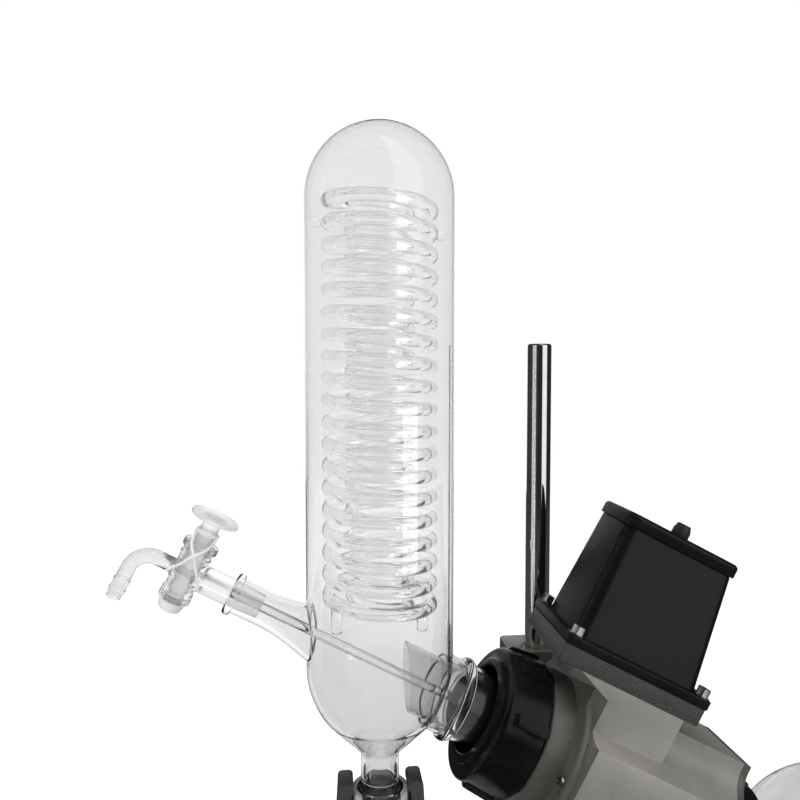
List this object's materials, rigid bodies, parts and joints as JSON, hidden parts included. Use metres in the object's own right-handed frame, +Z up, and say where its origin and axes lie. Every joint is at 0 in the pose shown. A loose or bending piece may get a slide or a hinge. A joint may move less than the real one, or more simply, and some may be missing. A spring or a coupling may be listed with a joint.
{
  "type": "rotary evaporator",
  "caption": "Bench rotary evaporator: tall glass coil condenser with feed stopcock, tilted drive head on a lift post, turning flask over a heated bath, and receiving flask.",
  "frame": {"origin": "on the bench under the middle of the whole machine", "axes": "+Z up, +X from the condenser towards the bath, -Y the side that faces the user"},
  "size_m": [0.8743, 0.3413, 0.944],
  "materials": {
    "clear_glass": "clear polished borosilicate glass",
    "dark_casting": "dark grey paint on cast aluminium",
    "silver_casting": "light grey satin paint on cast aluminium",
    "black_plastic": "black moulded plastic",
    "black_casting": "black textured paint",
    "dark_jaw": "dark grey matte",
    "steel": "polished",
    "gear_brass": "machined",
    "motor_body": "plain motor can",
    "ptfe": "white fluoropolymer",
    "elastic": "white elastic",
    "rubber": "black",
    "base_paint": "light grey powder coat",
    "pot_steel": "brushed stainless steel",
    "panel_plastic": "charcoal",
    "display_glass": "dark red window"
  },
  "bodies": {
    "stand": {"base_plate": "base_paint", "rubber_feet": "rubber", "post": "steel", "post_socket": "dark_casting", "socket_bolts": "steel", "bath_casing": "base_paint", "bath_pot": "pot_steel", "heater_plate": "pot_steel", "bath_panel": "panel_plastic", "bath_display": "display_glass"},
    "head": {"clamp_block": "dark_casting", "drive_housing": "silver_casting", "front_casting": "dark_casting", "flange_screws": "steel", "rear_plate": "silver_casting", "rear_plate_screws": "steel", "bearing_outer_rings": "steel", "motor_spacer": "black_casting", "motor_cover": "black_plastic", "motor_lid": "black_plastic", "cover_bolts": "steel", "motor": "motor_body", "cable_gland": "black_plastic", "condenser_body": "clear_glass", "outer_coil": "clear_glass", "inner_coil": "clear_glass", "hose_nipples": "clear_glass", "coil_supports": "clear_glass", "split_ring": "steel", "port_seal": "ptfe", "stopcock_body": "clear_glass", "stopcock_tie": "elastic", "feed_tube": "ptfe", "receiver_flask": "clear_glass", "receiver_clamp": "dark_casting", "ear_pins": "steel"},
    "rotor": {"spindle": "steel", "crown_wheel": "gear_brass", "bearing_inner_rings": "steel", "vapour_tube": "clear_glass", "flask_nut": "black_plastic", "evaporating_flask": "clear_glass"},
    "motor_rotor": {"motor_shaft": "steel", "pinion": "gear_brass"},
    "coupling_nut": {"coupling_nut": "black_plastic"},
    "stopcock_plug": {"stopcock_plug": "clear_glass", "stopcock_retainer": "ptfe"},
    "clamp_knob": {"clamp_knob": "black_plastic"},
    "clamp_ear_right": {"clamp_ear_right": "dark_jaw"},
    "clamp_ear_left": {"clamp_ear_left": "dark_jaw"},
    "temperature_dial": {"temperature_dial": "black_plastic"},
    "power_switch": {"power_switch": "black_plastic"}
  },
  "joints": [
    {"name": "head_lift", "type": "slide", "parent": "stand", "child": "head", "axis": [0, 0, 1], "range_m": [0, 0.25]},
    {"name": "flask_spin", "type": "hinge", "parent": "head", "child": "rotor", "pos_m": [-0.202, 0, 0.47], "axis": [0.8854, 0, -0.4648], "continuous": true},
    {"name": "motor_spin", "type": "hinge", "parent": "head", "child": "motor_rotor", "pos_m": [-0.02846, 0, 0.37889], "axis": [0.4648, 0, 0.8854], "continuous": true},
    {"name": "nut_turn", "type": "hinge", "parent": "head", "child": "coupling_nut", "pos_m": [-0.202, 0, 0.47], "axis": [-0.8854, 0, 0.4648], "range_deg": [0, 60]},
    {"name": "stopcock_turn", "type": "hinge", "parent": "head", "child": "stopcock_plug", "pos_m": [-0.36845, 0, 0.55739], "axis": [0.4648, 0, 0.8854], "range_deg": [-90, 90]},
    {"name": "clamp_knob_turn", "type": "hinge", "parent": "head", "child": "clamp_knob", "pos_m": [-0.028, 0.12025, 0.3805], "axis": [1, 0, 0], "range_deg": [0, 180]},
    {"name": "clamp_ear_right_swing", "type": "hinge", "parent": "head", "child": "clamp_ear_right", "pos_m": [-0.17, 0, 0.336], "axis": [0, 1, 0], "range_deg": [0, 30]},
    {"name": "clamp_ear_left_swing", "type": "hinge", "parent": "head", "child": "clamp_ear_left", "pos_m": [-0.234, 0, 0.336], "axis": [0, -1, 0], "range_deg": [0, 30]},
    {"name": "temperature_dial_turn", "type": "hinge", "parent": "stand", "child": "temperature_dial", "pos_m": [0.3064, -0.154, 0.118], "axis": [0, 1, 0], "range_deg": [0, 270]},
    {"name": "power_switch_rock", "type": "hinge", "parent": "stand", "child": "power_switch", "pos_m": [0.20441, -0.157, 0.118], "axis": [1, 0, 0], "range_deg": [-5, 5]}
  ],
  "couplings": [
    {"joint": "motor_spin", "follows": "flask_spin", "ratio": -3},
    {"joint": "clamp_ear_left_swing", "follows": "clamp_ear_right_swing", "ratio": 1}
  ]
}
